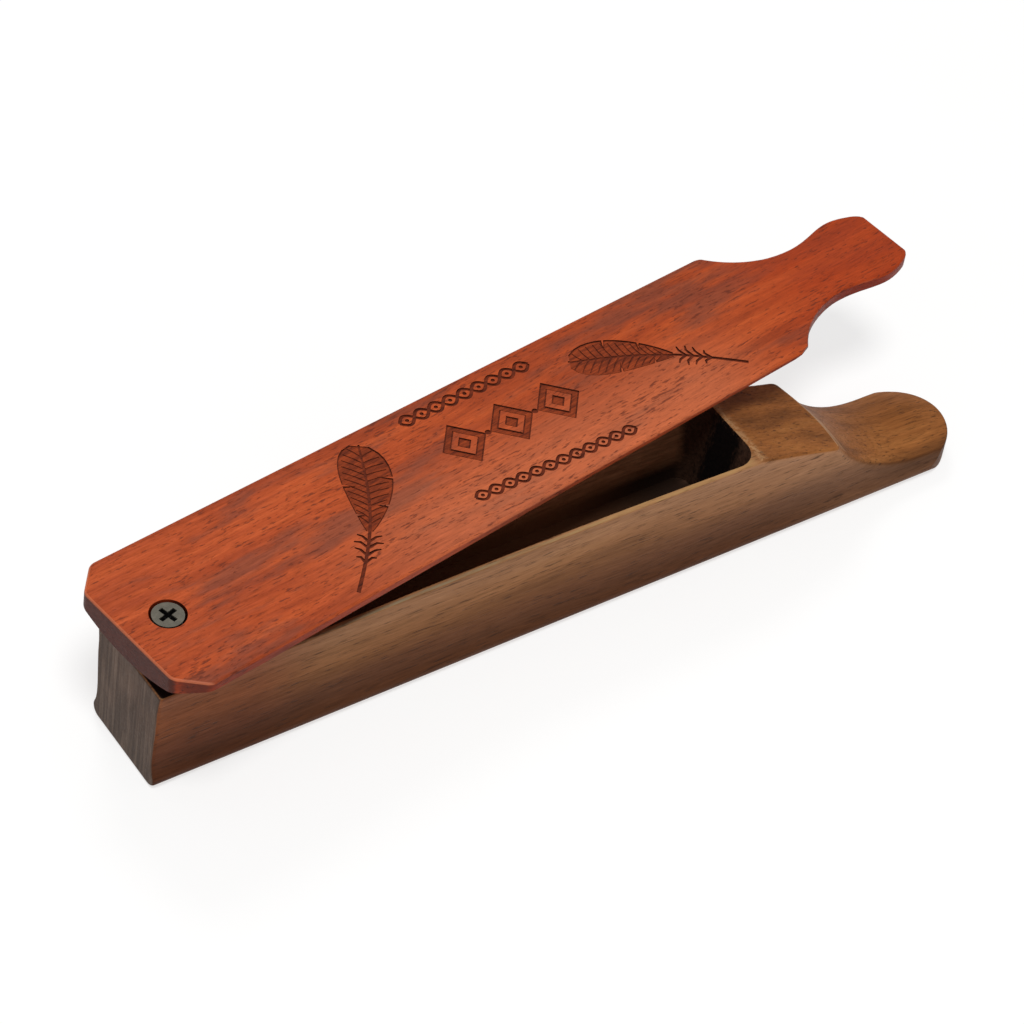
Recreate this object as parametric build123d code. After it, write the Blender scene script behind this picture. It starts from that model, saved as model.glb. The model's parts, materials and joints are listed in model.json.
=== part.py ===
"""Box turkey call: a milled box with a sound chamber, and a paddle lid on a sprung pivot screw.

Millimetres, +Z up. The origin is the middle of the flat base. The box runs along X, with the pivot
screw near its -X end and its carved handle at the +X end. The lid is drawn where it rests, swung a
few degrees towards +Y about the pivot screw.
"""
from build123d import *
import os
from math import cos, radians, sin, tan

# Box
BOX_LENGTH = 261.0          # end face to the tip of the handle
SCREW_END = -BOX_LENGTH / 2
BASE_HALF_WIDTH = 12.4      # flat part of the base, inside the rounded foot bead
BEAD_RADIUS = 2.9
BEAD_END = 25.0             # degrees past level where the bead runs out into the cove
COVE = (14.2, 7.6)          # half width and height of points up the side
WAIST = (14.15, 12.0)
FLARE = (14.8, 24.0)
LIP = (16.3, 37.0)          # the sides run this far, and the rim profile trims them
PAD_HEIGHT = 34.3           # flat top over the solid pivot block
PAD_LENGTH = 22.0
ARCH_TOP = (85.0, 36.2)     # highest point of the arched rims, from the end face
CHAMBER_END = 184.0
RIM_END_HEIGHT = 34.0
FACET_SLOPE = 0.30          # fall of the sloping top between the chamber and the scoop
FACET_END = 230.0           # the scoop cuts it away before this
END_ROUND = 0.9
BASE_ROUND = 0.6

# Sound chamber
CHAMBER_FLOOR = 7.0
CHAMBER_HALF_WIDTH = 14.8   # at the top of the flared sides
CHAMBER_CORNER = 7.0
WALL_TAPER = 7.0            # degrees, keeps the flared walls thin all the way down

# Handle scoop: hollow towards the facet, then falling gently to the tip, and crowned across
SCOOP_X = 246.0             # where it is level
SCOOP_FLOOR = 9.6
SCOOP_RADIUS = 42.0
TIP_DROP = 1.8              # fall from the level part to the tip
CROWN_RADIUS = 36.0
CROWN_SWING = 50.0          # degrees to each side that the cutter is turned through
SCOOP_TILT = 4.5            # degrees, lower on the +Y side
TIP_RADIUS = 15.7           # the handle's end, seen from above; a little over the foot's half width
HANDLE_ROUND = 2.0
CREASE_ROUND = 1.0
RIM_ROUND = 0.5

# Pivot
PIVOT_X = 10.44             # from the end face
REST_SWING = 7.95           # degrees that the lid is swung at rest

# Lid, measured from the pivot axis along the lid
LID_TOP = 45.04
LID_BACK = -12.6
LID_BACK_HALF = 24.65
SHOULDER = (201.0, 22.0)
CLIP = 7.2                  # the two cut corners at the screw end
CLIP_ROUND = 3.5
NECK = (225.0, 10.3)
NECK_SIDE = (211.0, 13.8)   # a point on the concave curve from shoulder to neck
GRIP_BACK = (233.0, 11.2)
GRIP_SIDE = (241.0, 12.6)
GRIP_FRONT = (248.0, 11.3)
GRIP_TIP = (252.6, 8.2)
BELLY_GAP = 0.3             # between the lid and the pad under it
BACK_THICKNESS = 7.9        # the belly rises towards the end face
BACK_EDGE = 1.2
BOSS_THICKNESS = LID_TOP - PAD_HEIGHT - BELLY_GAP
BOSS_EDGE = 2.2             # thickness left at the long edges
BOSS_START = -5.0
BOSS_END = 12.0
BLADE_START = 32.0
BLADE_THICKNESS = 8.0
BLADE_EDGE = 2.0
BLADE_END = 196.0
BLADE_END_EDGE = 0.7
GRIP_START = 222.0
GRIP_THICKNESS = 4.6
GRIP_EDGE = 3.0
EDGE_MARGIN = 0.5           # the belly runs this far past the edges before the outline trims it
TOP_ROUND = 0.8
GRIP_ROUND = 1.6
SHOULDER_ROUND = 1.0

# Pivot hardware
BORE_RADIUS = 4.87
BORE_FLOOR = 38.0
LID_HOLE_RADIUS = 2.75
HEAD_RADIUS = 4.17
HEAD_TOP = 44.74
HEAD_RIM = 0.25
HEAD_ANGLE = 41.0           # half angle of the countersunk head
SHANK_RADIUS = 2.08
THREAD_ROOT = 1.5
THREAD_PITCH = 1.7
THREAD_TURNS = 12
THREAD_TOP = 28.6
SCREW_TIP = 5.9
PILOT_CLEARANCE = 0.05
PILOT_FLOOR = 5.5
RECESS_WIDTH = 1.35
RECESS_LENGTH = 5.3
RECESS_DEPTH = 2.0
RECESS_TAPER = 9.0
RECESS_TURN = 18.0
WASHER_OUTER = 4.3
WASHER_HOLE = 2.4
WASHER_THICKNESS = 0.8
WASHER_LIFT = 0.2
SPRING_RADIUS = 3.6
SPRING_WIRE = 0.45
SPRING_PITCH = 1.45
SPRING_TOP = 43.5


def from_end_face(shape):
    """Place a shape that is drawn from the end face."""
    return Pos(SCREW_END, 0, 0) * shape


def from_pivot(shape):
    """Place a shape that is drawn along the lid from the pivot axis, at the lid's rest swing."""
    return Pos(SCREW_END + PIVOT_X, 0, 0) * Rot(0, 0, REST_SWING) * shape


def side_section():
    """Cross-section of the box: a foot bead, a waist and sides that flare to the rim."""
    bead_middle = BEAD_RADIUS * sin(radians(45))
    rise = radians(BEAD_END)
    bead_end = (BASE_HALF_WIDTH + BEAD_RADIUS * cos(rise), BEAD_RADIUS * (1 + sin(rise)))
    base = Line((0, 0), (BASE_HALF_WIDTH, 0))
    bead = ThreePointArc(
        (BASE_HALF_WIDTH, 0),
        (BASE_HALF_WIDTH + bead_middle, BEAD_RADIUS - bead_middle),
        bead_end,
    )
    side = Spline(bead_end, COVE, WAIST, FLARE, LIP, tangents=[(-sin(rise), cos(rise)), (0.2, 1)])
    top = Line(LIP, (0, LIP[1]))
    middle = Line((0, LIP[1]), (0, 0))
    half = make_face(base + bead + side + top + middle)
    return half + mirror(half, Plane.YZ)


def top_profile():
    """Side view of the box: the pad, the arched rims and the slope down to the handle."""
    facet_height = RIM_END_HEIGHT - FACET_SLOPE * (FACET_END - CHAMBER_END)
    end = BOX_LENGTH + 1
    outline = (
        Line((0, 0), (0, PAD_HEIGHT))
        + Line((0, PAD_HEIGHT), (PAD_LENGTH, PAD_HEIGHT))
        + ThreePointArc((PAD_LENGTH, PAD_HEIGHT), ARCH_TOP, (CHAMBER_END, RIM_END_HEIGHT))
        + Line((CHAMBER_END, RIM_END_HEIGHT), (FACET_END, facet_height))
        + Line((FACET_END, facet_height), (end, facet_height))
        + Line((end, facet_height), (end, 0))
        + Line((end, 0), (0, 0))
    )
    return make_face(Plane.XZ * outline)


def scoop_cutter():
    """What leaves the handle top: the side profile turned about an axis along X, which crowns it."""
    low_x = SCOOP_X - SCOOP_RADIUS
    wall = SCOOP_FLOOR + SCOOP_RADIUS
    end_x = BOX_LENGTH + 4
    fall = (end_x - SCOOP_X) ** 2 / (BOX_LENGTH - SCOOP_X) ** 2 * TIP_DROP
    mid_angle = radians(45)
    hollow = ThreePointArc(
        (low_x, wall),
        (SCOOP_X - SCOOP_RADIUS * sin(mid_angle), wall - SCOOP_RADIUS * cos(mid_angle)),
        (SCOOP_X, SCOOP_FLOOR),
    )
    tip = TangentArc((SCOOP_X, SCOOP_FLOOR), (end_x, SCOOP_FLOOR - fall), tangent=(1, 0))
    outline = hollow + tip + Polyline(tip @ 1, (end_x, wall), (low_x, wall))
    section = Pos(0, 0, CROWN_RADIUS - SCOOP_FLOOR) * make_face(Plane.XZ * outline)
    cutter = revolve(Rot(-CROWN_SWING, 0, 0) * section, Axis.X, 2 * CROWN_SWING)
    return Pos(0, 0, SCOOP_FLOOR) * Rot(-SCOOP_TILT, 0, 0) * Pos(0, 0, -CROWN_RADIUS) * cutter


def handle_plan():
    """Top view of the box: square at the screw end, round at the handle."""
    centre_x = BOX_LENGTH - TIP_RADIUS
    square = Pos(centre_x / 2, 0) * Rectangle(centre_x, 2 * LIP[0] + 4)
    return square + Pos(centre_x, 0) * Circle(TIP_RADIUS)


def sound_chamber():
    length = CHAMBER_END - PAD_LENGTH
    mouth = Pos((PAD_LENGTH + CHAMBER_END) / 2, 0, LIP[1]) * RectangleRounded(
        length, 2 * CHAMBER_HALF_WIDTH, CHAMBER_CORNER
    )
    return extrude(mouth, amount=CHAMBER_FLOOR - LIP[1], taper=WALL_TAPER)


def edges_in(body, low, high):
    """Edges of the body that lie wholly between two corners of a box."""
    found = ShapeList()
    for edge in body.edges():
        box = edge.bounding_box()
        above = box.min.X > low[0] and box.min.Y > low[1] and box.min.Z > low[2]
        below = box.max.X < high[0] and box.max.Y < high[1] and box.max.Z < high[2]
        if above and below:
            found.append(edge)
    return found


def soften_box(body):
    """Sand the box: handle and facet sides, scoop crease, rims, end face and base."""
    far = LIP[0] + 1
    scoop_sides = edges_in(body, (205, -far, 5), (BOX_LENGTH, -3, 28))
    scoop_sides += edges_in(body, (205, 3, 5), (BOX_LENGTH, far, 28))
    body = fillet(scoop_sides, HANDLE_ROUND)
    crease = edges_in(body, (205, -far, 20), (216, far, 30)).sort_by(SortBy.LENGTH)[-1]
    body = fillet(crease, CREASE_ROUND)
    rims = edges_in(body, (-0.01, -far, 33), (CHAMBER_END + 1, -15, 40))
    rims += edges_in(body, (-0.01, 15, 33), (CHAMBER_END + 1, far, 40))
    body = fillet([edge for edge in rims if edge.length > PAD_LENGTH / 2], RIM_ROUND)
    body = fillet(edges_in(body, (-1, -far, -1), (0.01, far, 40)), END_ROUND)
    return fillet(edges_in(body, (0.3, -far, -1), (BOX_LENGTH + 1, far, 0.01)), BASE_ROUND)


def make_box():
    body = extrude(Plane.YZ * side_section(), amount=BOX_LENGTH)
    body &= extrude(top_profile(), amount=LIP[0] + 4, both=True)
    body &= extrude(handle_plan(), amount=LIP[1] + 1)
    body -= scoop_cutter()
    body -= sound_chamber()
    body = soften_box(body)
    pilot = SHANK_RADIUS + PILOT_CLEARANCE
    depth = PAD_HEIGHT - PILOT_FLOOR
    body -= Pos(PIVOT_X, 0, PILOT_FLOOR + depth / 2) * Cylinder(pilot, depth)
    return from_end_face(body)


def lid_outline():
    """Top view of the lid: clipped corners, tapering sides, concave shoulders and a waisted grip."""
    back = (LID_BACK, LID_BACK_HALF)
    half = (
        Line((LID_BACK, 0), back)
        + Line(back, SHOULDER)
        + ThreePointArc(SHOULDER, NECK_SIDE, NECK)
        + Spline(NECK, GRIP_BACK, GRIP_SIDE, GRIP_FRONT, GRIP_TIP, tangents=[(1, 0), (0.45, -1)])
        + Line(GRIP_TIP, (GRIP_TIP[0], 0))
        + Line((GRIP_TIP[0], 0), (LID_BACK, 0))
    )
    face = make_face(half)
    whole = face + mirror(face, Plane.XZ)
    clipped = chamfer(whole.vertices().group_by(Axis.X)[0], CLIP)
    clipped = fillet(clipped.vertices().sort_by(Axis.X)[:4], CLIP_ROUND)
    clipped = fillet(clipped.vertices().group_by(Axis.X)[-1], GRIP_ROUND)
    shoulders = [v for v in clipped.vertices() if abs(v.X - SHOULDER[0]) < 0.01]
    return fillet(shoulders, SHOULDER_ROUND)


def belly_section(x, half, thickness, edge):
    """Cross-section of the lid blank at x: flat on top, a round belly below."""
    half += EDGE_MARGIN
    face = make_face(
        Line((-half, 0), (half, 0))
        + Line((half, 0), (half, -edge))
        + ThreePointArc((half, -edge), (0, -thickness), (-half, -edge))
        + Line((-half, -edge), (-half, 0))
    )
    return Plane(origin=(x, 0, LID_TOP), x_dir=(0, 1, 0), z_dir=(1, 0, 0)) * face


def lid_blank():
    """Round-bellied blank: thick over the pivot pad, thinner along the blade and at the grip."""
    back, far, grip = LID_BACK_HALF, SHOULDER[1], GRIP_SIDE[1]
    sections = [
        belly_section(LID_BACK - 1, back, BACK_THICKNESS, BACK_EDGE),
        belly_section(BOSS_START, back, BOSS_THICKNESS, BOSS_EDGE),
        belly_section(BOSS_END, back, BOSS_THICKNESS, BOSS_EDGE),
        belly_section(BLADE_START, back, BLADE_THICKNESS, BLADE_EDGE),
        belly_section(BLADE_END, far + EDGE_MARGIN, BLADE_THICKNESS, BLADE_END_EDGE),
        belly_section(GRIP_START, grip, GRIP_THICKNESS, GRIP_EDGE),
        belly_section(GRIP_TIP[0] + 1, grip, GRIP_THICKNESS, GRIP_EDGE),
    ]
    blank = None
    for start, end in zip(sections, sections[1:]):
        span = loft([start, end], ruled=True)
        blank = span if blank is None else blank + span
    return blank


def make_lid():
    plate = Pos(0, 0, LID_TOP - BOSS_THICKNESS - 1) * extrude(lid_outline(), amount=BOSS_THICKNESS + 1)
    plate = fillet(plate.edges().group_by(Axis.Z)[-1], TOP_ROUND)
    lid = plate & lid_blank()
    bore_depth = LID_TOP - BORE_FLOOR
    lid -= Pos(0, 0, BORE_FLOOR + bore_depth / 2) * Cylinder(BORE_RADIUS, bore_depth)
    lid -= Pos(0, 0, BORE_FLOOR) * Cylinder(LID_HOLE_RADIUS, 2 * BOSS_THICKNESS)
    return from_pivot(lid)


def phillips_recess():
    arm = Rectangle(RECESS_LENGTH, RECESS_WIDTH)
    cross = Pos(0, 0, HEAD_TOP) * (arm + Rot(0, 0, 90) * arm)
    return Rot(0, 0, RECESS_TURN) * extrude(cross, amount=-RECESS_DEPTH, taper=RECESS_TAPER)


def make_screw():
    """Flat-head wood screw, with its thread drawn as level rings."""
    cone = (HEAD_RADIUS - SHANK_RADIUS) / tan(radians(HEAD_ANGLE))
    points = [(0, HEAD_TOP), (HEAD_RADIUS, HEAD_TOP), (HEAD_RADIUS, HEAD_TOP - HEAD_RIM)]
    points.append((SHANK_RADIUS, HEAD_TOP - HEAD_RIM - cone))
    points.append((SHANK_RADIUS, THREAD_TOP + THREAD_PITCH / 2))
    for turn in range(THREAD_TURNS):
        crest = THREAD_TOP - turn * THREAD_PITCH
        points.append((THREAD_ROOT, crest + THREAD_PITCH * 0.35))
        points.append((SHANK_RADIUS, crest + THREAD_PITCH * 0.08))
        points.append((SHANK_RADIUS, crest - THREAD_PITCH * 0.08))
        points.append((THREAD_ROOT, crest - THREAD_PITCH * 0.35))
    points.append((0, SCREW_TIP))
    profile = make_face(Plane.XZ * Polyline(points, close=True))
    screw = revolve(profile, Axis.Z) - phillips_recess()
    return Pos(SCREW_END + PIVOT_X, 0, 0) * screw


def make_washer():
    ring = Cylinder(WASHER_OUTER, WASHER_THICKNESS) - Cylinder(WASHER_HOLE, WASHER_THICKNESS)
    return from_pivot(Pos(0, 0, BORE_FLOOR + WASHER_LIFT + WASHER_THICKNESS / 2) * ring)


def make_spring():
    """Short compression spring between the washer and the underside of the screw head."""
    bottom = BORE_FLOOR + WASHER_LIFT + WASHER_THICKNESS + SPRING_WIRE + 0.03
    height = SPRING_TOP - SPRING_WIRE - bottom
    path = Helix(SPRING_PITCH, height, SPRING_RADIUS)
    section = Plane(origin=path @ 0, z_dir=path % 0) * Circle(SPRING_WIRE)
    return from_pivot(Pos(0, 0, bottom) * sweep(section, path))


os.makedirs("parts", exist_ok=True)
export_step(make_box(), "parts/box_body.step")
export_step(make_lid(), "parts/paddle_lid.step")
export_step(make_screw(), "parts/pivot_screw.step")
export_step(make_washer(), "parts/spring_washer.step")
export_step(make_spring(), "parts/lid_spring.step")
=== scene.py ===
"""Looks for the box turkey call: oiled padauk lid with laser-cut ornament, walnut box, pivot hardware.

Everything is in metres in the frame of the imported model: +X runs from the pivot screw to the handle,
+Z is up and the base rests on z = 0. The materials and the engraving work in millimetres.
"""
import json
from math import atan2, cos, pi, radians, sin

import bmesh
import bpy
from mathutils import Matrix, Vector
from mathutils.geometry import delaunay_2d_cdt


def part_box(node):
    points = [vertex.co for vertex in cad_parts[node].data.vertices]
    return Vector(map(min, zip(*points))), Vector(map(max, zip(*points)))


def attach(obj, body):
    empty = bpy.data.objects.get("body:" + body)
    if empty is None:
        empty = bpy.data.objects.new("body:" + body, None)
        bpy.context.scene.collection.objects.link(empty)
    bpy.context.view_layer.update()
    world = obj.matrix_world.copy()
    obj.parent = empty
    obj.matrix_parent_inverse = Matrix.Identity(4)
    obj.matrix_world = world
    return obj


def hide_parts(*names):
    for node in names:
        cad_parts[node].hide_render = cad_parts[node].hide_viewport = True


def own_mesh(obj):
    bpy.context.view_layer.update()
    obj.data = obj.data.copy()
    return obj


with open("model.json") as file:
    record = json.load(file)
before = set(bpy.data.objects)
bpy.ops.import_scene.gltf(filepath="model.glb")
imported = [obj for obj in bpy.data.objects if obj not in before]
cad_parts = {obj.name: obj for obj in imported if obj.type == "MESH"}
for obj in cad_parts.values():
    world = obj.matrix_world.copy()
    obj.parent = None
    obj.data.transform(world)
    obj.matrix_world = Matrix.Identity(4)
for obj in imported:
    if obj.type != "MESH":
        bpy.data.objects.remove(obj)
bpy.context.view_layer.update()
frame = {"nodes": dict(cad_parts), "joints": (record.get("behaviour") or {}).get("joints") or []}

MM = 0.001
UP, DOWN = (0, 0, 1), (0, 0, -1)

# Places taken from the frame
SCREW_LOW, SCREW_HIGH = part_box("pivot_screw")
LID_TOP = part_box("paddle_lid")[1].z
PIVOT = Vector(((SCREW_LOW.x + SCREW_HIGH.x) / 2, 0, 0))
LID_AXIS = Vector(next(j["axis"] for j in frame["joints"] if j["name"] == "lid_rock"))
LID_YAW = atan2(LID_AXIS.y, LID_AXIS.x)
LID_FRAME = Matrix.Translation(PIVOT) @ Matrix.Rotation(LID_YAW, 4, "Z")

# Places on the box, in millimetres
END_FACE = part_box("box_body")[0].x / MM
CHAMBER_START = END_FACE + 22.0
CHAMBER_END = END_FACE + 184.0
CREST = END_FACE + 212.5    # the edge between the sloping facet and the scoop
RIM_HEIGHT = 34.0           # where the rims are lowest
RIM_PEAK = 36.0

# Engraving, in millimetres
STROKE_DEPTH = 0.45
SHALLOW_DEPTH = 0.26
CUTTER_LIFT = 0.3           # how far a cutter stands above the lid
MITRE_LIMIT = 0.45          # least cosine that a groove's corner is stretched by
FILL, LINE = 1, 2           # how deep a shape goes: shallow areas and deeper lines

SHARP_ANGLE = 32            # degrees; flatter edges are shaded smooth

PADAUK, BURNT_WALL, BURNT_FLOOR, BURNT_LINE = range(4)


# ---------------------------------------------------------------- colours and shader helpers


def tone(red, green, blue):
    """Linear colour of an ordinary 0-255 screen colour."""
    def linear(value):
        value /= 255
        return value / 12.92 if value < 0.04045 else ((value + 0.055) / 1.055) ** 2.4

    return (linear(red), linear(green), linear(blue), 1.0)


class Shader:
    """A Principled material whose nodes are written as nested calls."""

    def __init__(self, name, specular=0.5, metallic=0.0, roughness=0.5):
        self.material = bpy.data.materials.new(name)
        self.material.use_nodes = True
        self.tree = self.material.node_tree
        self.principled = self.tree.nodes["Principled BSDF"]
        self.principled.inputs["Specular IOR Level"].default_value = specular
        self.principled.inputs["Metallic"].default_value = metallic
        self.principled.inputs["Roughness"].default_value = roughness

    def add(self, kind, inputs=None, output=0, **settings):
        node = self.tree.nodes.new("ShaderNode" + kind)
        for key, value in settings.items():
            setattr(node, key, value)
        for key, value in (inputs or {}).items():
            self.put(node.inputs[key], value)
        return node.outputs[output]

    def put(self, socket, value):
        if isinstance(value, bpy.types.NodeSocket):
            self.tree.links.new(value, socket)
        else:
            socket.default_value = value

    def object_point(self):
        return self.add("TexCoord", output="Object")

    def grain(self, origin, yaw):
        """Position in millimetres, with X along the grain."""
        turn = Matrix.Rotation(-yaw, 3, "Z")
        shift = -(turn @ Vector(origin)) / MM
        return self.add("Mapping", {
            "Vector": self.object_point(),
            "Location": shift,
            "Rotation": (0, 0, -yaw),
            "Scale": (1 / MM,) * 3,
        })

    def part(self, vector, axis):
        return self.add("SeparateXYZ", {0: vector}, output=axis)

    def facing(self, direction, least, most):
        """1 where the surface faces the direction, 0 where it leans too far away from it."""
        normal = self.add("TexCoord", output="Normal")
        lean = self.add("VectorMath", {0: normal, 1: direction}, output="Value", operation="DOT_PRODUCT")
        return self.span(lean, least, most)

    def both(self, *shares):
        """1 only where every share is 1."""
        total = shares[0]
        for share in shares[1:]:
            total = self.math("MULTIPLY", total, share)
        return total

    def stretch(self, point, scale, shift=(0, 0, 0)):
        return self.add("Mapping", {"Vector": point, "Scale": scale, "Location": shift})

    def noise(self, point, scale, detail=2.0, rough=0.5, bend=0.0, shift=(0, 0, 0)):
        """Noise from 0 to 1, with scale in waves per millimetre along each axis."""
        return self.add("TexNoise", {
            "Vector": self.stretch(point, scale, shift),
            "Scale": 1.0, "Detail": detail, "Roughness": rough, "Distortion": bend,
        })

    def sway(self, point, scale, amount):
        """Bends the grain: the point moved sideways by slow noise, in millimetres."""
        colour = self.add("TexNoise", {
            "Vector": self.stretch(point, scale), "Scale": 1.0, "Detail": 1.0,
        }, output="Color")
        offset = self.add("VectorMath", {0: colour, 1: (0.5, 0.5, 0.5)}, operation="SUBTRACT")
        offset = self.add("VectorMath", {0: offset, 1: (0, amount, amount)}, operation="MULTIPLY")
        return self.add("VectorMath", {0: point, 1: offset}, operation="ADD")

    def span(self, value, low, high, to_low=0.0, to_high=1.0):
        """The value's range from low to high, smoothly mapped and clamped."""
        return self.add("MapRange", {
            "Value": value, "From Min": low, "From Max": high, "To Min": to_low, "To Max": to_high,
        }, interpolation_type="SMOOTHSTEP")

    def math(self, operation, first, second=0.0):
        return self.add("Math", {0: first, 1: second}, operation=operation)

    def ramp(self, value, stops):
        node = self.tree.nodes.new("ShaderNodeValToRGB")
        ramp = node.color_ramp
        ramp.elements[0].position, ramp.elements[0].color = stops[0]
        ramp.elements[1].position, ramp.elements[1].color = stops[-1]
        for place, colour in stops[1:-1]:
            ramp.elements.new(place).color = colour
        self.put(node.inputs[0], value)
        return node.outputs[0]

    def mix(self, share, first, second, blend="MIX"):
        node = self.tree.nodes.new("ShaderNodeMix")
        node.data_type = "RGBA"
        node.blend_type = blend
        self.put(node.inputs[0], share)
        self.put(node.inputs[6], first)
        self.put(node.inputs[7], second)
        return node.outputs[2]

    def cover(self, colour, share, strength, over):
        """Lays another colour over this one, with the strength where share is 1."""
        return self.mix(self.both(share, strength), colour, over)

    def tinted(self, colour, share, factor):
        """Multiplies the colour by the factor where share is 1."""
        return self.mix(share, colour, self.mix(1.0, colour, factor, "MULTIPLY"))

    def shade(self, colour, share, amount):
        """Darkens or lightens the colour by amount where share is 1."""
        return self.tinted(colour, share, (1 + amount,) * 3 + (1,))

    def bump(self, height, distance, strength):
        return self.add("Bump", {"Height": height, "Distance": distance, "Strength": strength})

    def finish(self, colour=None, roughness=None, normal=None):
        if colour is not None:
            self.put(self.principled.inputs["Base Color"], colour)
        if roughness is not None:
            self.put(self.principled.inputs["Roughness"], roughness)
        if normal is not None:
            self.put(self.principled.inputs["Normal"], normal)
        return self.material


# ---------------------------------------------------------------- materials


class Padauk(Shader):
    """Orange-red heartwood: soft streaks, grey-violet patches, fine pores, maroon end grain."""

    def __init__(self):
        super().__init__("padauk", specular=0.12)
        self.point = self.grain(PIVOT, LID_YAW)
        self.along, self.across, self.height = (self.part(self.point, axis) for axis in "XYZ")
        self.lines = self.sway(self.point, (0.012, 0.035, 0.03), 8.0)
        self.fibre = self.noise(self.lines, (0.13, 1.7, 1.7), 5.0, 0.72)

    def heartwood(self):
        streak = self.noise(self.lines, (0.011, 0.20, 0.2), 5.0, 0.62)
        colour = self.ramp(streak, [
            (0.28, tone(142, 56, 24)),
            (0.44, tone(166, 68, 29)),
            (0.58, tone(184, 79, 34)),
            (0.74, tone(200, 92, 44)),
        ])
        patch = self.noise(self.lines, (0.020, 0.10, 0.1), 4.0, 0.6, shift=(40, 3, 0))
        colour = self.cover(colour, self.span(patch, 0.49, 0.64), 0.60, tone(106, 60, 47))
        # painted sheen: a paler band along the lid's near edge stands in for a reflection of the light
        painted_sheen = self.both(
            self.span(self.math("ADD", self.across, self.math("MULTIPLY", streak, 14.0)), 16.0, -9.0),
            self.span(self.along, 25.0, 85.0),
            self.span(self.along, 200.0, 165.0),
        )
        colour = self.cover(colour, painted_sheen, 0.46, tone(200, 116, 79))
        grip = self.span(self.along, 190.0, 225.0)
        return self.cover(colour, grip, 0.75, tone(162, 56, 19))

    def fibres(self, colour):
        colour = self.shade(colour, self.span(self.fibre, 0.49, 0.74), -0.34)
        colour = self.shade(colour, self.span(self.fibre, 0.49, 0.28), 0.24)
        mottle = self.noise(self.point, (0.5, 1.1, 1.1), 5.0, 0.75, shift=(0, 5, 0))
        return self.shade(colour, self.span(mottle, 0.50, 0.72), -0.20)

    def pores(self):
        """1 in the short dark pores, which crowd together in some bands."""
        crowd = self.noise(self.lines, (0.03, 0.10, 0.10), 1.0, shift=(0, 17, 5))
        dash = self.noise(self.lines, (0.30, 1.6, 1.6), 2.5, 0.6, shift=(7, 0, 0))
        return self.span(self.math("ADD", dash, self.math("MULTIPLY", crowd, 0.26)), 0.69, 0.82)

    def edges(self, colour):
        """Painted shade on the sides, maroon end grain and a painted highlight on the rounded top edge at
        the screw end.
        """
        # painted shade: the lid's side faces are darker and redder than its top
        side = self.facing(UP, 0.55, 0.10)
        colour = self.tinted(colour, side, (0.60, 0.42, 0.34, 1.0))
        ends = self.math(
            "MAXIMUM", self.facing(-LID_AXIS, 0.60, 0.93), self.facing(LID_AXIS, 0.60, 0.93))
        stripe = self.noise(self.point, (0.4, 0.5, 2.2), 4.0, 0.65)
        maroon = self.ramp(stripe, [(0.32, tone(42, 17, 11)), (0.68, tone(74, 31, 20))])
        colour = self.cover(colour, ends, 0.88, maroon)
        # painted highlight along the rounded top edge at the screw end
        painted_edge_highlight = self.both(
            self.facing(UP, 0.985, 0.90),
            self.facing(UP, 0.12, 0.40),
            self.facing(-LID_AXIS, 0.10, 0.35),
            self.span(self.height, LID_TOP / MM - 1.1, LID_TOP / MM - 0.7),
        )
        return self.cover(colour, painted_edge_highlight, 0.55, tone(204, 118, 84))

    def made(self):
        pore = self.pores()
        colour = self.fibres(self.heartwood())
        colour = self.edges(self.cover(colour, pore, 0.72, tone(92, 38, 24)))
        relief = self.math("SUBTRACT", self.math("MULTIPLY", self.fibre, 0.35), pore)
        rough = self.span(self.fibre, 0.3, 0.7, 0.40, 0.54)
        return self.finish(colour, rough, self.bump(relief, 0.00006, 0.6))


def burnt(name, dark, light, lift):
    """Laser-burnt padauk: char with some of the wood's red left in it."""
    sh = Shader(name, specular=0.12)
    point = sh.grain(PIVOT, LID_YAW)
    soot = sh.noise(point, (0.16, 1.1, 1.1), 4.0, 0.7)
    colour = sh.ramp(soot, [(0.34, dark), (0.66, light)])
    ribs = sh.noise(point, (0.5, 5.0, 5.0), 2.0, 0.6)
    colour = sh.shade(colour, sh.span(ribs, 0.5, 0.7), lift)
    normal = sh.bump(ribs, 0.00009, 0.8)
    return sh.finish(colour, sh.span(soot, 0.3, 0.7, 0.70, 0.86), normal)


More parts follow.
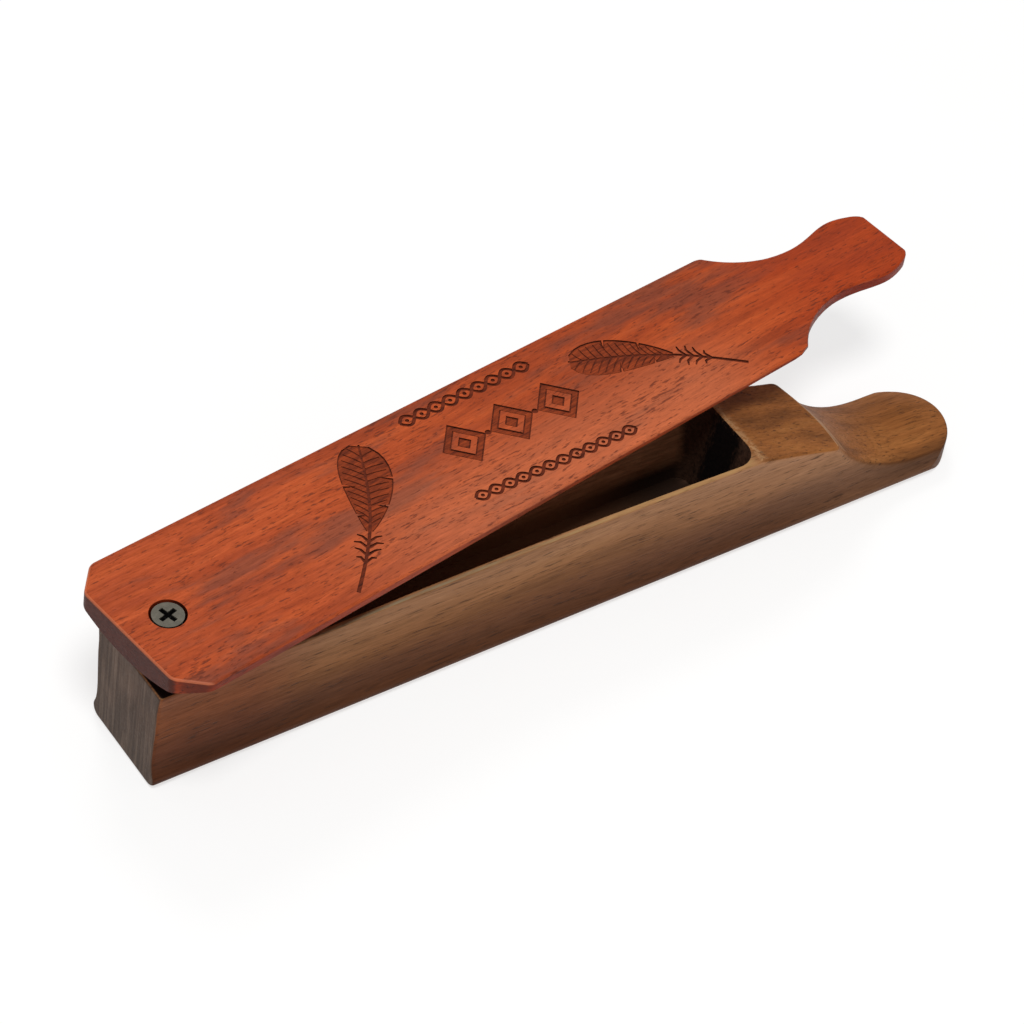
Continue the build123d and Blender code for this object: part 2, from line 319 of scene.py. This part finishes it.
class Walnut(Shader):
    """Oiled walnut: tan rims, golden handle, painted shade reddening the foot, grey end grain and a
    charred chamber with painted shade on its floor.
    """

    def __init__(self):
        super().__init__("walnut", specular=0.08)
        self.point = self.grain((0, 0, 0), 0.0)
        self.along, self.across, self.height = (self.part(self.point, axis) for axis in "XYZ")
        self.lines = self.sway(self.point, (0.010, 0.025, 0.035), 6.0)
        self.fibre = self.noise(self.lines, (0.11, 1.6, 1.6), 5.0, 0.72)
        self.figure = self.noise(self.lines, (0.012, 0.16, 0.12), 4.0, 0.6, shift=(9, 0, 3))
        self.char = self.noise(self.point, (0.10, 0.9, 0.9), 4.0, 0.7)
        self.flank = self.both(self.facing(UP, 0.60, 0.35), self.facing(DOWN, 0.80, 0.60))

    def heartwood(self):
        rings = self.noise(self.lines, (0.005, 0.22, 0.075), 5.0, 0.62)
        return self.ramp(rings, [
            (0.28, tone(108, 71, 46)),
            (0.44, tone(137, 94, 60)),
            (0.58, tone(158, 110, 73)),
            (0.74, tone(176, 127, 85)),
        ])

    def sides(self, colour):
        """Painted shade: deeper and redder downwards, more so towards the screw end."""
        # painted shade: the tint darkens and reddens the sides towards the bottom
        tint = self.ramp(self.math("MULTIPLY", self.height, 1 / RIM_PEAK), [
            (0.14, (0.72, 0.62, 0.54, 1)),
            (0.30, (0.88, 0.67, 0.47, 1)),
            (0.50, (1.00, 0.85, 0.58, 1)),
            (0.70, (0.94, 0.89, 0.81, 1)),
            (0.86, (1.00, 1.00, 1.00, 1)),
        ])
        toward_handle = self.span(self.along, CHAMBER_END + 24.5, CHAMBER_END - 1.5, 0.30, 1.0)
        colour = self.tinted(colour, self.both(self.flank, toward_handle), tint)
        screw_end = self.span(self.along, -78.0, -106.0)
        return self.tinted(colour, self.both(self.flank, screw_end), (0.87, 0.61, 0.53, 1))

    def handle(self, colour):
        """Golden top of the facet and the scoop."""
        top = self.both(
            self.facing(UP, 0.30, 0.75),
            self.span(self.along, CHAMBER_END - 3.5, CHAMBER_END + 2.5),
        )
        gold = self.ramp(self.figure, [
            (0.30, tone(112, 66, 31)),
            (0.50, tone(146, 88, 42)),
            (0.70, tone(166, 106, 54)),
        ])
        return self.cover(colour, top, 0.88, gold)

    def foot(self, colour):
        """Paler sides by the handle, and painted shade darkening the foot to red-brown."""
        pale = self.both(self.span(self.along, -20.0, 110.0), self.flank)
        colour = self.cover(colour, pale, 0.42, tone(188, 140, 106))
        # painted shade: the foot and its bead darkened to red-brown
        low = self.both(
            self.span(self.height, 31.0, 4.0),
            self.facing(UP, 0.85, 0.60),
            self.facing(DOWN, 0.90, 0.60),
        )
        strength = self.span(self.along, 108.0, 60.0, 0.70, 0.89)
        return self.cover(colour, low, strength, tone(72, 38, 19))

    def fibres(self, colour):
        colour = self.shade(colour, self.span(self.fibre, 0.48, 0.74), -0.40)
        return self.shade(colour, self.span(self.fibre, 0.48, 0.28), 0.28)

    def pores(self):
        """1 in the short dark pores."""
        return self.span(self.noise(self.lines, (0.17, 1.6, 1.6), 2.5, 0.6, shift=(3, 0, 0)), 0.57, 0.70)

    def end_grain(self, colour):
        """Grey end face with upright growth lines and a pale haze."""
        face = self.both(
            self.facing((-1, 0, 0), 0.70, 0.93),
            self.span(self.along, END_FACE + 10.5, END_FACE + 1.5),
        )
        grey = self.ramp(self.noise(self.point, (1.0, 0.75, 0.035), 4.0, 0.65), [
            (0.32, tone(62, 50, 42)),
            (0.50, tone(80, 65, 55)),
            (0.68, tone(104, 87, 75)),
        ])
        haze = self.noise(self.point, (1.0, 0.10, 0.05), 3.0, 0.6, shift=(0, 4, 2))
        grey = self.shade(grey, self.span(haze, 0.46, 0.64), 0.42)
        return self.cover(colour, face, 0.92, grey)

    def rims(self, colour):
        """Worn, paler tops of the chamber's sides."""
        out = self.math("ABSOLUTE", self.across)
        rim = self.both(
            self.facing(UP, 0.35, 0.70),
            self.span(self.height, RIM_HEIGHT - 0.6, RIM_HEIGHT),
            self.span(self.along, -106.0, -60.0),
            self.span(self.along, CHAMBER_END - 0.5, CHAMBER_END - 4.5),
            self.math("MAXIMUM", self.span(out, 14.9, 15.4), self.span(self.along, -20.0, 20.0)),
        )
        wear = self.span(self.noise(self.point, (0.15, 1.6, 0.6), 3.0, 0.6), 0.30, 0.62, 0.25, 0.75)
        worn = self.mix(self.span(self.along, -60.0, 20.0), tone(136, 124, 98), tone(176, 138, 90))
        return self.cover(colour, rim, wear, worn)

    def inside(self):
        """1 on the walls and the floor of the sound chamber, with a ragged edge at its end."""
        ragged = self.math("MULTIPLY", self.noise(self.point, (1.4, 1.4, 1.4), 3.0, 0.7), 1.6)
        mouth = self.math("ADD", self.math("MULTIPLY", self.height, 0.085), 12.1)
        depth = self.math("SUBTRACT", mouth, self.math("ABSOLUTE", self.across))
        rim_top = self.both(self.facing(UP, 0.45, 0.80), self.span(self.height, 27.0, 30.0))
        return self.both(
            self.span(depth, -0.3, 0.3),
            self.span(self.along, CHAMBER_START - 0.4, CHAMBER_START + 0.2),
            self.span(self.math("ADD", self.along, ragged), CHAMBER_END + 1.1, CHAMBER_END + 0.3),
            self.span(self.height, RIM_HEIGHT + 1.0, RIM_HEIGHT + 0.2),
            self.span(self.height, 0.8, 1.6),
            self.math("SUBTRACT", 1.0, rim_top),
        )

    def chamber(self, colour, inside):
        """Raw walls painted paler to stand in for light, painted shade on the floor and low walls that
        deepens towards the end, and a brown end wall with a black smear down it.
        """
        # raw wood, painted paler still to stand in for light that the lid keeps out
        raw_and_painted_light = self.ramp(self.char, [(0.32, tone(152, 101, 70)), (0.68, tone(204, 146, 106))])
        # painted shade: the chamber's floor and low walls darken towards its end, where the lid shades
        # them
        soot = self.mix(self.span(self.along, 0.0, 42.0), tone(134, 92, 64), tone(52, 37, 28))
        low = self.math("MAXIMUM", self.facing(UP, 0.1, 0.6), self.span(self.height, 16.0, 10.0))
        raw_and_painted_light = self.mix(low, raw_and_painted_light, soot)
        brown = self.ramp(self.char, [(0.32, tone(54, 38, 29)), (0.68, tone(88, 62, 48))])
        black = self.ramp(self.char, [(0.32, tone(11, 8, 8)), (0.68, tone(24, 17, 15))])
        drift = self.math("MULTIPLY", self.noise(self.point, (0.5, 0.8, 0.35), 4.0, 0.75), 9.0)
        patch = self.math("ADD", self.across, drift)
        smear = self.both(self.span(patch, -3.5, 0.5), self.span(patch, 12.0, 8.0))
        end_wall = self.span(self.along, CHAMBER_END - 7.0, CHAMBER_END - 3.5)
        hollow = self.mix(end_wall, raw_and_painted_light, self.mix(smear, brown, black))
        return self.mix(inside, colour, hollow)

    def edges(self, colour):
        """Pale edges round the facet, a painted highlight on the crease, the handle's dark knot and
        painted shade on the pivot pad under the lid.
        """
        brim = self.both(
            self.facing(UP, 0.90, 0.95),
            self.span(self.along, CHAMBER_END - 1.0, CHAMBER_END),
            self.span(self.along, CHAMBER_END + 3.0, CHAMBER_END + 0.5),
            self.span(self.height, 31.0, 32.0),
            self.span(self.noise(self.point, (0.9, 0.9, 0.9), 3.0, 0.7), 0.35, 0.6),
        )
        colour = self.cover(colour, brim, 0.55, tone(190, 150, 106))
        # painted highlight along the crease between the sloping facet and the scoop
        crease_highlight = self.both(
            self.facing((0.59, 0, 0.81), 0.965, 0.99),
            self.span(self.along, CREST - 4.0, CREST - 2.0),
            self.span(self.along, CREST + 4.5, CREST + 3.0),
        )
        colour = self.cover(colour, crease_highlight, 0.50, tone(196, 156, 112))
        knot = self.both(
            self.span(self.math("ADD", self.across, self.math("MULTIPLY", self.figure, 8.0)), -5.5, -9.0),
            self.span(self.along, CREST + 4.0, CREST + 30.0),
            self.span(self.height, 2.0, 6.0),
        )
        colour = self.cover(colour, knot, 0.50, tone(66, 40, 23))
        # painted shade: the pivot pad's top under the lid darkened to near black
        pad_shade = self.both(
            self.facing(UP, 0.8, 0.95),
            self.span(self.along, CHAMBER_START + 1.5, CHAMBER_START),
            self.span(self.height, RIM_HEIGHT - 1.0, RIM_HEIGHT),
        )
        return self.mix(pad_shade, colour, tone(26, 19, 16))

    def made(self):
        pore, inside = self.pores(), self.inside()
        colour = self.foot(self.handle(self.sides(self.heartwood())))
        colour = self.cover(self.fibres(colour), pore, 0.65, tone(54, 33, 22))
        colour = self.rims(self.end_grain(colour))
        colour = self.edges(self.chamber(colour, inside))
        relief = self.math("SUBTRACT", self.math("MULTIPLY", self.fibre, 0.35), pore)
        relief = self.math("ADD", relief, self.both(inside, self.char, 6.0))
        rough = self.span(self.fibre, 0.3, 0.7, 0.46, 0.60)
        rough = self.math("ADD", rough, self.both(inside, 0.3))
        return self.finish(colour, rough, self.bump(relief, 0.00006, 0.6))


def screw_metal():
    """Dull grey-green plating, rubbed and speckled, with the cross recess painted near black as shade."""
    sh = Shader("screw_plating", metallic=0.35, specular=0.5)
    point = sh.grain(PIVOT, 0.0)
    patch = sh.noise(point, (0.6, 0.6, 0.6), 4.0, 0.6)
    colour = sh.ramp(patch, [
        (0.34, tone(76, 71, 60)),
        (0.52, tone(94, 89, 77)),
        (0.70, tone(112, 106, 94)),
    ])
    # painted shade: the cross recess darkened to near black
    depth = sh.span(sh.part(point, "Z"), SCREW_HIGH.z / MM - 0.10, SCREW_HIGH.z / MM - 0.45)
    colour = sh.mix(depth, colour, tone(17, 15, 14))
    speck = sh.noise(point, (5.0, 5.0, 5.0), 2.0)
    normal = sh.bump(speck, 0.00002, 0.5)
    return sh.finish(colour, sh.span(patch, 0.3, 0.7, 0.42, 0.60), normal)


def bright_steel(name, dark, light, rough):
    """Drawn or plated steel with fine scratches."""
    sh = Shader(name, metallic=0.95)
    point = sh.grain(PIVOT, 0.0)
    patch = sh.noise(point, (0.9, 0.9, 0.9), 4.0, 0.6)
    scratch = sh.noise(point, (9.0, 0.8, 0.8), 3.0, 0.7)
    colour = sh.ramp(patch, [(0.3, dark), (0.7, light)])
    normal = sh.bump(scratch, 0.00001, 0.4)
    return sh.finish(colour, sh.span(patch, 0.3, 0.7, rough, rough + 0.16), normal)


# ---------------------------------------------------------------- engraving


class Engraving:
    """Collects flat shapes in the lid's own millimetres and turns them into one clean cutter."""

    def __init__(self):
        self.shapes = []

    def area(self, outline, level=FILL):
        if signed_area(outline) < 0:
            outline = list(reversed(outline))
        self.shapes.append((outline, level))

    def stroke(self, points, widths, level=LINE, closed=False):
        """A groove along points; widths is one number or one for each point."""
        count = len(points)
        if not isinstance(widths, (list, tuple)):
            widths = [widths] * count
        left, right = [], []
        for i, point in enumerate(points):
            before = points[i - 1] if i or closed else point
            after = points[(i + 1) % count] if i < count - 1 or closed else point
            side, reach = mitre(before, point, after)
            left.append(tuple(Vector(point) + side * reach * widths[i] / 2))
            right.append(tuple(Vector(point) - side * reach * widths[i] / 2))
        for i in range(count if closed else count - 1):
            j = (i + 1) % count
            self.area([right[i], right[j], left[j], left[i]], level)

    def outlined(self, outline, edge=0.42):
        """A shallow area with a deeper, darker line round it."""
        self.area(outline, FILL)
        self.stroke(outline, edge, LINE, closed=True)

    def dot(self, x, y, radius, level=LINE):
        sides = 16
        self.area([
            (x + radius * cos(2 * pi * i / sides), y + radius * sin(2 * pi * i / sides))
            for i in range(sides)
        ], level)

    def solid(self, name):
        """One closed mesh of all the shapes, stepped to each shape's depth."""
        points, faces = [], []
        for outline, level in self.shapes:
            faces.append(list(range(len(points), len(points) + len(outline))))
            points.extend(Vector(point) for point in outline)
        flat, _, cells, _, _, owners = delaunay_2d_cdt(points, [], faces, 1, 1e-4)
        levels = {}
        for cell, owner in zip(cells, owners):
            if owner:
                levels[tuple(cell)] = max(self.shapes[i][1] for i in owner)
        form = bmesh.new()
        heights = [CUTTER_LIFT, -SHALLOW_DEPTH, -STROKE_DEPTH]
        made = {}

        def corner(index, rung):
            if (index, rung) not in made:
                x, y = flat[index]
                place = Vector((x * MM, y * MM, LID_TOP + heights[rung] * MM))
                made[index, rung] = form.verts.new(LID_FRAME @ place)
            return made[index, rung]

        sides = {}
        for cell, level in levels.items():
            form.faces.new([corner(i, 0) for i in cell])
            floor = form.faces.new([corner(i, level) for i in reversed(cell)])
            floor.material_index = BURNT_FLOOR if level == FILL else BURNT_LINE
            for i, j in zip(cell, cell[1:] + cell[:1]):
                sides[i, j] = level
        for (i, j), level in sides.items():
            for rung in range(sides.get((j, i), 0), level):
                wall = form.faces.new([
                    corner(i, rung), corner(i, rung + 1), corner(j, rung + 1), corner(j, rung),
                ])
                wall.material_index = BURNT_WALL
        bmesh.ops.recalc_face_normals(form, faces=form.faces)
        data = bpy.data.meshes.new(name)
        form.to_mesh(data)
        form.free()
        piece = bpy.data.objects.new(name, data)
        bpy.context.scene.collection.objects.link(piece)
        return piece


def signed_area(outline):
    """Area of an outline, above zero where it runs anticlockwise."""
    return sum(
        x0 * y1 - x1 * y0 for (x0, y0), (x1, y1) in zip(outline, outline[1:] + outline[:1])
    ) / 2


def mitre(before, point, after):
    """Unit direction to the left of a path at point, and how far the mitre stretches."""
    ahead = Vector(after) - Vector(point)
    behind = Vector(point) - Vector(before)
    if ahead.length < 1e-9:
        ahead = behind
    if behind.length < 1e-9:
        behind = ahead
    ahead.normalize()
    behind.normalize()
    along = (ahead + behind).normalized()
    side = Vector((-along.y, along.x))
    reach = 1 / max(MITRE_LIMIT, side.dot(Vector((-ahead.y, ahead.x))))
    return side, reach


def placed(points, start, end):
    """Points drawn along +X from the origin, laid on the line from start to end."""
    start, end = Vector(start), Vector(end)
    along = (end - start).normalized()
    across = Vector((-along.y, along.x))
    return [tuple(start + along * x + across * y) for x, y in points]


def lozenge_row(cutter, start, end, count, height):
    """Open lozenges, each round a small solid one, with dots between them."""
    band, line = 2.0, 0.40
    half_band, slant = 0.85, 1.45       # the outlines' offset, and how much the slope adds to it
    length = (Vector(end) - Vector(start)).length
    pitch = length / count
    half_long, half_high = pitch * 0.37, height / 2

    def lozenge(middle, share):
        return placed([
            (middle + half_long * share, 0), (middle, half_high * share),
            (middle - half_long * share, 0), (middle, -half_high * share),
        ], start, end)

    for i in range(count):
        middle = pitch * (i + 0.5)
        cutter.stroke(lozenge(middle, 1.0), band, FILL, closed=True)
        for sign in (1, -1):
            share = 1.0 + sign * half_band / half_high * slant
            cutter.stroke(lozenge(middle, share), line, LINE, closed=True)
        cutter.outlined(lozenge(middle, 0.34))
        if i < count - 1:
            (x, y), = placed([(pitch * (i + 1), 0)], start, end)
            cutter.dot(x, y, 0.9)


def twist_row(cutter, start, end, turns, height, width):
    """Two strands of a rope border that cross, with a dot in each eye."""
    length = (Vector(end) - Vector(start)).length
    steps = turns * 10
    for sign in (1, -1):
        wave = [
            (length * i / steps, sign * height / 2 * sin(pi * turns * i / steps))
            for i in range(steps + 1)
        ]
        cutter.stroke(placed(wave, start, end), width)
    for i in range(turns):
        (x, y), = placed([(length * (i + 0.5) / turns, 0)], start, end)
        cutter.dot(x, y, width * 0.6)


def feather(cutter, tip, root, half_width):
    """A single feather: vane with split barbs, long quill and a little down at its root."""
    sway = 3.0                          # bend of the shaft
    vane_start, vane_length = 0.01, 0.58
    steps, barbs = 15, 12
    length = (Vector(root) - Vector(tip)).length

    def curve(share, across=0.0):
        """Point on the bent shaft at a share of the length, moved across it."""
        return (length * share, across + sway * sin(pi * share))

    def vane_half(share):
        """Half width of the vane, full near the tip and narrow towards the quill."""
        inside = min(max(share / 0.60, 0.0), 1.0)
        return half_width * (sin(pi * inside ** 0.62) ** 0.8) + 0.25

    along_vane = [vane_start + vane_length * i / steps for i in range(steps + 1)]
    shaft = [curve(share) for share in along_vane]
    for side in (1, -1):
        notch = (5, 10) if side > 0 else (7, 12)
        outer = []
        for i, share in enumerate(along_vane):
            reach = vane_half(share)
            outer.append(curve(share, side * reach))
            if i in notch:
                outer.append(curve(share + 0.008, side * reach * 0.45))
                outer.append(curve(share + 0.018, side * vane_half(share + 0.02)))
        cutter.area(placed(outer + list(reversed(shaft)), tip, root))
        cutter.stroke(placed(outer, tip, root), 0.36)
        for i in range(barbs):
            base = 0.08 + 0.50 * i / barbs
            reach = vane_half(base - 0.05) * 0.86
            barb = [
                curve(base, side * 0.1),
                curve(base - 0.028, side * reach * 0.5),
                curve(base - 0.05, side * reach),
            ]
            cutter.stroke(placed(barb, tip, root), [0.5, 0.42, 0.30])
    quill = [curve(share / 20) for share in range(21)]
    cutter.stroke(placed(quill, tip, root), [0.55 + 0.05 * i / 2 for i in range(21)])
    for i, (share, reach) in enumerate(((0.66, 3.2), (0.70, 3.8), (0.75, 3.4), (0.80, 2.6))):
        for side in (1, -1):
            tuft = [
                curve(share, 0),
                curve(share - 0.035, side * reach * 0.55),
                curve(share - 0.045 + 0.01 * (i % 2), side * reach),
            ]
            cutter.stroke(placed(tuft, tip, root), [0.9, 0.7, 0.4])


def ornament():
    """Everything engraved on the lid: a row of lozenges and two rows of beads between two feathers.

    X runs along the lid from the pivot and Y across it.
    """
    cutter = Engraving()
    lozenge_row(cutter, (92, 4.2), (138.5, 1.2), count=3, height=12.5)
    twist_row(cutter, (90.4, 18.6), (133.4, 16.8), turns=9, height=3.6, width=0.95)
    twist_row(cutter, (89, -13.2), (141, -17.6), turns=12, height=3.2, width=0.9)
    feather(cutter, tip=(76.5, 18.8), root=(43.0, -21.4), half_width=6.6)
    feather(cutter, tip=(142.8, 11.2), root=(183.5, -16.4), half_width=6.2)
    return cutter.solid("engraving_cutter")


# ---------------------------------------------------------------- pieces


def welded_copy(node, name):
    """A copy of a CAD node with its faces joined, ready to be cut."""
    data = frame["nodes"][node].data.copy()
    data.name = name
    form = bmesh.new()
    form.from_mesh(data)
    bmesh.ops.remove_doubles(form, verts=form.verts, dist=1e-6)
    form.to_mesh(data)
    form.free()
    if "custom_normal" in data.attributes:
        data.attributes.remove(data.attributes["custom_normal"])
    piece = bpy.data.objects.new(name, data)
    bpy.context.scene.collection.objects.link(piece)
    return piece


def settle(piece):
    """Applies the piece's modifiers to its mesh."""
    graph = bpy.context.evaluated_depsgraph_get()
    data = bpy.data.meshes.new_from_object(piece.evaluated_get(graph))
    piece.modifiers.clear()
    piece.data = data


def smooth(piece):
    """Smooth shading with flat faces kept flat and true edges kept crisp."""
    data = piece.data
    for face in data.polygons:
        face.use_smooth = True
    data.set_sharp_from_angle(angle=radians(SHARP_ANGLE))
    weighted = piece.modifiers.new("weighted_normal", "WEIGHTED_NORMAL")
    weighted.keep_sharp = True


def make_lid(materials):
    """The lid with the ornament cut into its top; materials are in the order of the indices."""
    lid = welded_copy("paddle_lid", "carved_lid")
    cutter = ornament()
    lid.data.materials.clear()
    for material in materials:
        lid.data.materials.append(material)
        cutter.data.materials.append(material)
    cut = lid.modifiers.new("engraving", "BOOLEAN")
    cut.object = cutter
    cut.operation = "DIFFERENCE"
    cut.solver = "EXACT"
    cut.material_mode = "INDEX"
    settle(lid)
    bpy.data.objects.remove(cutter)
    smooth(lid)
    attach(lid, "lid")
    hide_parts("paddle_lid")


def make_spring(material):
    """The coil spring, given its own mesh and carried by the pivot spring's body."""
    spring = welded_copy("lid_spring", "coil_spring")
    spring.data.materials.clear()
    spring.data.materials.append(material)
    smooth(spring)
    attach(spring, "pivot_spring")
    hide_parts("lid_spring")
    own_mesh(spring)


def dress(node, material):
    """Gives a CAD node its finished material."""
    for slot in frame["nodes"][node].material_slots:
        slot.material = material


# ---------------------------------------------------------------- stage, light and camera


def make_floor():
    """A plain pale floor that glows a little, so that it stays near white."""
    bpy.ops.mesh.primitive_plane_add(size=6.0, location=(0, 0, 0))
    floor = bpy.context.object
    floor.name = "floor"
    sh = Shader("pale_floor", specular=0.1, roughness=0.9)
    tint = sh.noise(sh.grain((0, 0, 0), 0), (0.003, 0.003, 0.003), 3.0)
    sh.finish(sh.ramp(tint, [(0.3, tone(160, 159, 158)), (0.7, tone(166, 166, 165))]))
    sh.principled.inputs["Emission Color"].default_value = (1.0, 1.0, 1.0, 1.0)
    sh.principled.inputs["Emission Strength"].default_value = 0.66
    floor.data.materials.append(sh.material)


def area_light(name, place, size, watts):
    """A round soft light, aimed at the origin."""
    light = bpy.data.lights.new(name, "AREA")
    light.shape = "DISK"
    light.size = size
    light.energy = watts
    lamp = bpy.data.objects.new(name, light)
    lamp.location = place
    lamp.rotation_euler = (-Vector(place)).to_track_quat("-Z", "Y").to_euler()
    bpy.context.scene.collection.objects.link(lamp)


def make_light():
    """An even sky, a key light above the near side and a weak rim light behind."""
    world = bpy.data.worlds.new("studio")
    world.use_nodes = True
    sky = world.node_tree.nodes["Background"]
    sky.inputs["Color"].default_value = (1.0, 1.0, 1.0, 1.0)
    sky.inputs["Strength"].default_value = 0.32
    bpy.context.scene.world = world
    area_light("key", place=(-0.45, -0.62, 2.5), size=0.80, watts=39)
    area_light("rim", place=(0.40, 1.30, 1.60), size=0.70, watts=7.5)


def make_camera():
    """Long lens above the screw end, rolled a little."""
    place = Vector((-0.48252, -0.5479, 0.74555))
    forward = Vector((0.4601, 0.5413, -0.7038)).normalized()
    right = Vector((0.8276, -0.5485, 0.1191))
    right = (right - right.dot(forward) * forward).normalized()
    up = right.cross(forward)
    lens = bpy.data.cameras.new("camera")
    lens.sensor_width = 36.0
    lens.lens = 137.6
    camera = bpy.data.objects.new("camera", lens)
    turn = Matrix((right, up, -forward)).transposed().to_4x4()
    camera.matrix_world = Matrix.Translation(place) @ turn
    bpy.context.scene.collection.objects.link(camera)
    bpy.context.scene.camera = camera


bpy.context.scene.view_settings.view_transform = "Standard"
make_camera()
make_light()
make_floor()
dress("box_body", Walnut().made())
dress("pivot_screw", screw_metal())
make_spring(bright_steel("spring_wire", tone(120, 120, 118), tone(170, 170, 166), 0.25))
dress("spring_washer", bright_steel("washer_plate", tone(150, 150, 148), tone(190, 190, 184), 0.30))
make_lid([
    Padauk().made(),
    burnt("burnt_wall", tone(58, 26, 16), tone(100, 45, 27), -0.25),
    burnt("burnt_floor", tone(96, 38, 20), tone(160, 68, 33), -0.35),
    burnt("burnt_line", tone(72, 29, 17), tone(124, 52, 29), -0.35),
])
